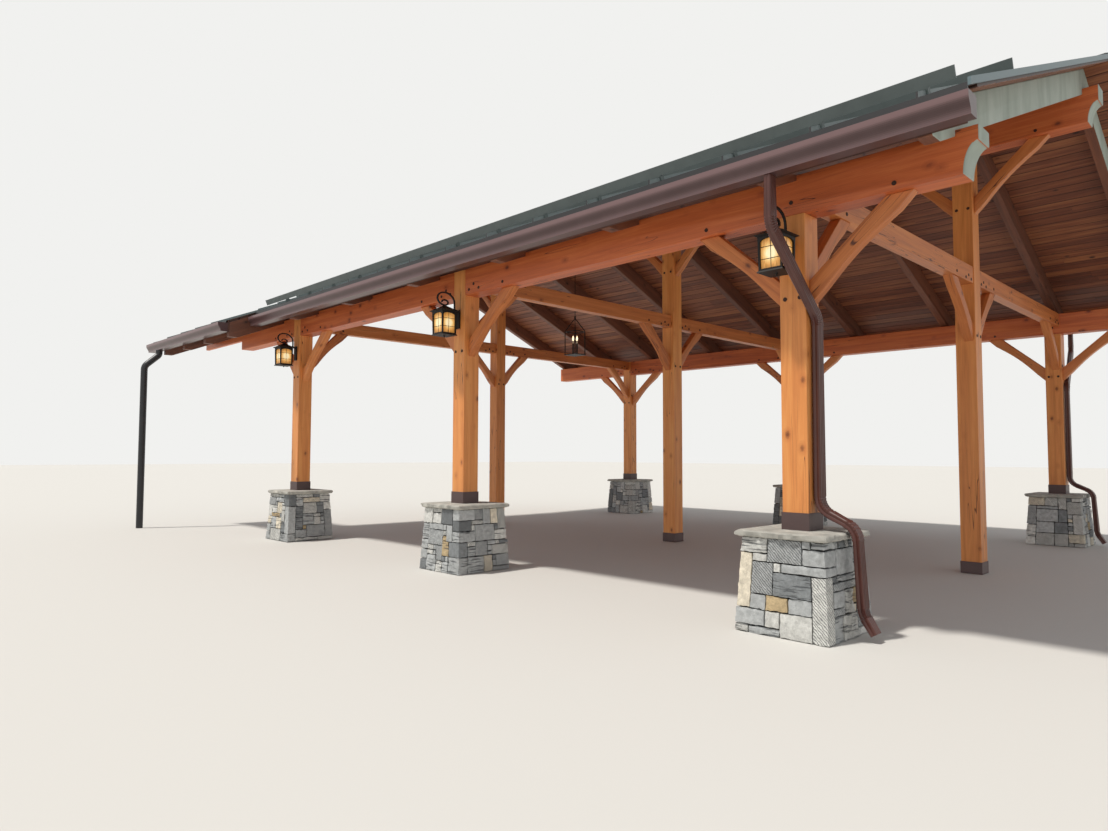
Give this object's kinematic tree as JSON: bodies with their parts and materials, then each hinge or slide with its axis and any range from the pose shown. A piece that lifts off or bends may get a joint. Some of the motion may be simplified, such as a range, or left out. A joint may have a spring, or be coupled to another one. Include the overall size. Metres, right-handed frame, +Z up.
{
  "type": "porch canopy",
  "caption": "Open timber porch canopy with a gable roof on braced posts, stone piers, gutters and lanterns.",
  "frame": {"origin": "on the ground at the middle of the bounding box", "axes": "+X along the ridge toward the open gable end, -Y toward the front eave with the lanterns, +Z up"},
  "size_m": [13.665, 9.9476, 5.4413],
  "materials": {
    "frame_wood": "stained and oiled, semi-gloss",
    "ceiling_wood": "stained tongue and groove boards, satin",
    "dark_wood": "dark stained board",
    "ledge_stone": "rough split ledge stone",
    "cap_stone": "thermal top with a rough edge",
    "shoe_metal": "dark brown, satin",
    "roof_metal": "grey-green, satin",
    "guard_metal": "charcoal, satin",
    "rake_metal": "blue-grey, satin",
    "gutter_metal": "brown, semi-gloss",
    "black_pipe": "black, satin",
    "lantern_iron": "black, matt",
    "lantern_glass": "seeded amber glass, lit"
  },
  "bodies": {
    "root": {"pier_front_near": "ledge_stone", "pier_front_mid": "ledge_stone", "pier_front_far": "ledge_stone", "pier_rear_near": "ledge_stone", "pier_rear_mid": "ledge_stone", "pier_rear_far": "ledge_stone", "pier_caps_front": "cap_stone", "pier_caps_rear": "cap_stone", "post_shoes": "shoe_metal", "post_front_near": "frame_wood", "post_front_mid": "frame_wood", "post_front_far": "frame_wood", "post_centre_near": "frame_wood", "post_centre_mid": "frame_wood", "post_centre_far": "frame_wood", "post_rear_near": "frame_wood", "post_rear_mid": "frame_wood", "post_rear_far": "frame_wood", "front_plate": "frame_wood", "rear_plate": "frame_wood", "ridge_beam": "frame_wood", "tie_beam_near": "frame_wood", "tie_beam_mid": "frame_wood", "tie_beam_far": "frame_wood", "braces_front_near": "frame_wood", "braces_front_mid": "frame_wood", "braces_front_far": "frame_wood", "braces_centre_near": "frame_wood", "braces_centre_mid": "frame_wood", "braces_centre_far": "frame_wood", "braces_rear_near": "frame_wood", "braces_rear_mid": "frame_wood", "braces_rear_far": "frame_wood", "rafters_front": "frame_wood", "rafters_rear": "frame_wood", "ceiling_front": "ceiling_wood", "ceiling_rear": "ceiling_wood", "roof_sheet_front": "roof_metal", "roof_sheet_rear": "roof_metal", "ridge_cap": "roof_metal", "fascia_front": "dark_wood", "fascia_rear": "dark_wood", "rake_trim": "rake_metal", "snow_guards_front": "guard_metal", "snow_guards_rear": "guard_metal", "gutter_front": "gutter_metal", "gutter_step": "gutter_metal", "gutter_rear": "gutter_metal", "downspout_near": "gutter_metal", "downspout_far": "black_pipe", "downspout_rear": "gutter_metal", "wall_lantern_near": "lantern_iron", "wall_lantern_mid": "lantern_iron", "wall_lantern_far": "lantern_iron", "lantern_glass": "lantern_glass", "pendant_lantern": "lantern_iron"}
  },
  "joints": []
}
